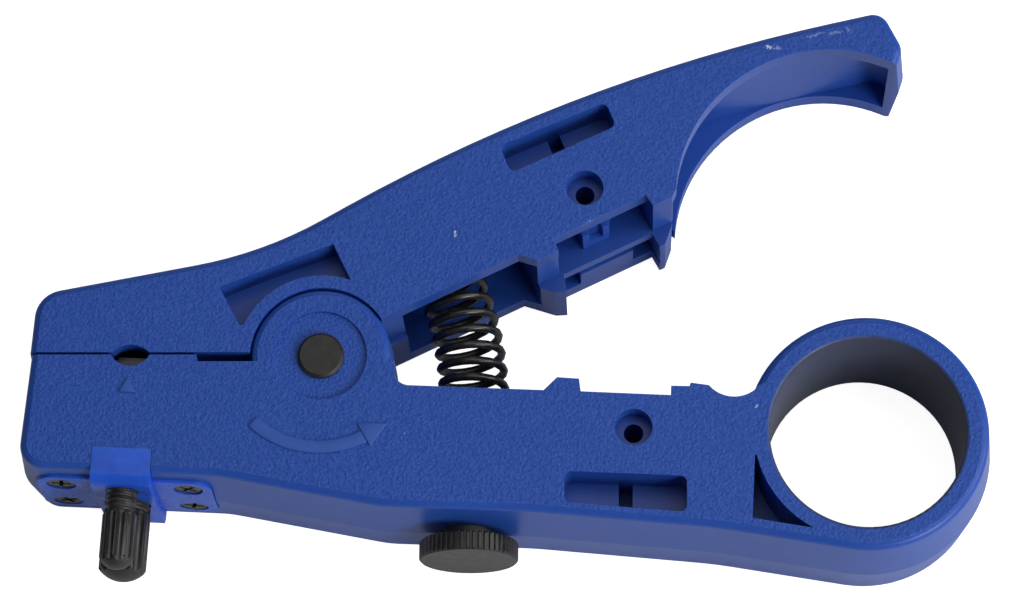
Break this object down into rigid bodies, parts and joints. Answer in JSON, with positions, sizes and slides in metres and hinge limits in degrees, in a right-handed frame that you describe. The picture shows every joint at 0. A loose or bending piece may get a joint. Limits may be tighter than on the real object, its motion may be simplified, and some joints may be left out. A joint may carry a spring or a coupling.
{
  "type": "coaxial cable stripper",
  "caption": "Pliers-like rotary coaxial cable stripper with a finger ring, a sprung lever, a knurled tension knob and thumb screws that set the depth of the blades in its nose.",
  "frame": {"origin": "on the lever's pivot axis, in the plane of the back face on which the tool lies", "axes": "+X along the parting line of the nose towards the finger ring, +Y from the handle to the lever, +Z through the thickness towards the front face"},
  "size_m": [0.1252, 0.0753, 0.0201],
  "materials": {
    "blue_plastic": "fine spark-eroded grain on the broad faces, satin on the sides",
    "blue_gloss": "smooth and glossy",
    "black_metal": "black oxide with bright rubbed edges",
    "blade_steel": "ground",
    "plated_steel": "dull zinc",
    "spring_steel": "dull"
  },
  "bodies": {
    "handle": {"lower_handle": "blue_plastic", "adjuster_block": "blue_gloss", "cover_screw_1": "black_metal", "cover_screw_2": "black_metal", "cover_screw_3": "black_metal", "cover_screw_4": "black_metal", "pivot_pin": "black_metal", "pivot_clip": "spring_steel", "return_spring": "black_metal"},
    "lever": {"upper_handle": "blue_plastic"},
    "knob": {"tension_knob": "black_metal", "knob_clip": "spring_steel"},
    "seat": {"spring_seat": "plated_steel"},
    "front_carrier": {"blade_holder_front": "plated_steel", "blade_front": "blade_steel", "blade_pin_front": "plated_steel"},
    "front_screw": {"depth_screw_front": "black_metal"},
    "rear_carrier": {"blade_holder_rear": "plated_steel", "blade_rear": "blade_steel", "blade_pin_rear": "plated_steel"},
    "rear_screw": {"depth_screw_rear": "black_metal"}
  },
  "joints": [
    {"name": "lever_pivot", "type": "hinge", "parent": "handle", "child": "lever", "pos_m": [0, 0, 0.0099], "axis": [0, 0, -1], "range_deg": [0, 25], "stiffness_Nm_per_rad": 0.3, "springref_deg": -28.65, "deforming": ["return_spring"]},
    {"name": "knob_turn", "type": "hinge", "parent": "handle", "child": "knob", "pos_m": [0.0189, -0.0234, 0.0099], "axis": [0, -1, 0], "range_deg": [-5, 1805]},
    {"name": "seat_slide", "type": "slide", "parent": "handle", "child": "seat", "axis": [0, 1, 0], "range_m": [0, 0.0035]},
    {"name": "front_blade_slide", "type": "slide", "parent": "handle", "child": "front_carrier", "axis": [0.0471, 0.9989, 0], "range_m": [-0.0021, 0.0007]},
    {"name": "front_screw_turn", "type": "hinge", "parent": "front_carrier", "child": "front_screw", "pos_m": [-0.02544, -0.01998, 0.0161], "axis": [0.0471, 0.9989, 0], "range_deg": [-1085, 365]},
    {"name": "rear_blade_slide", "type": "slide", "parent": "handle", "child": "rear_carrier", "axis": [0.0471, 0.9989, 0], "range_m": [-0.002, 0.0005]},
    {"name": "rear_screw_turn", "type": "hinge", "parent": "rear_carrier", "child": "rear_screw", "pos_m": [-0.02544, -0.01998, 0.0099], "axis": [0.0471, 0.9989, 0], "range_deg": [-725, 185]}
  ],
  "couplings": [
    {"joint": "knob_turn", "follows": "seat_slide", "rad_per_m": 8976},
    {"joint": "front_screw_turn", "follows": "front_blade_slide", "rad_per_m": 8976},
    {"joint": "rear_screw_turn", "follows": "rear_blade_slide", "rad_per_m": 6283.2}
  ]
}
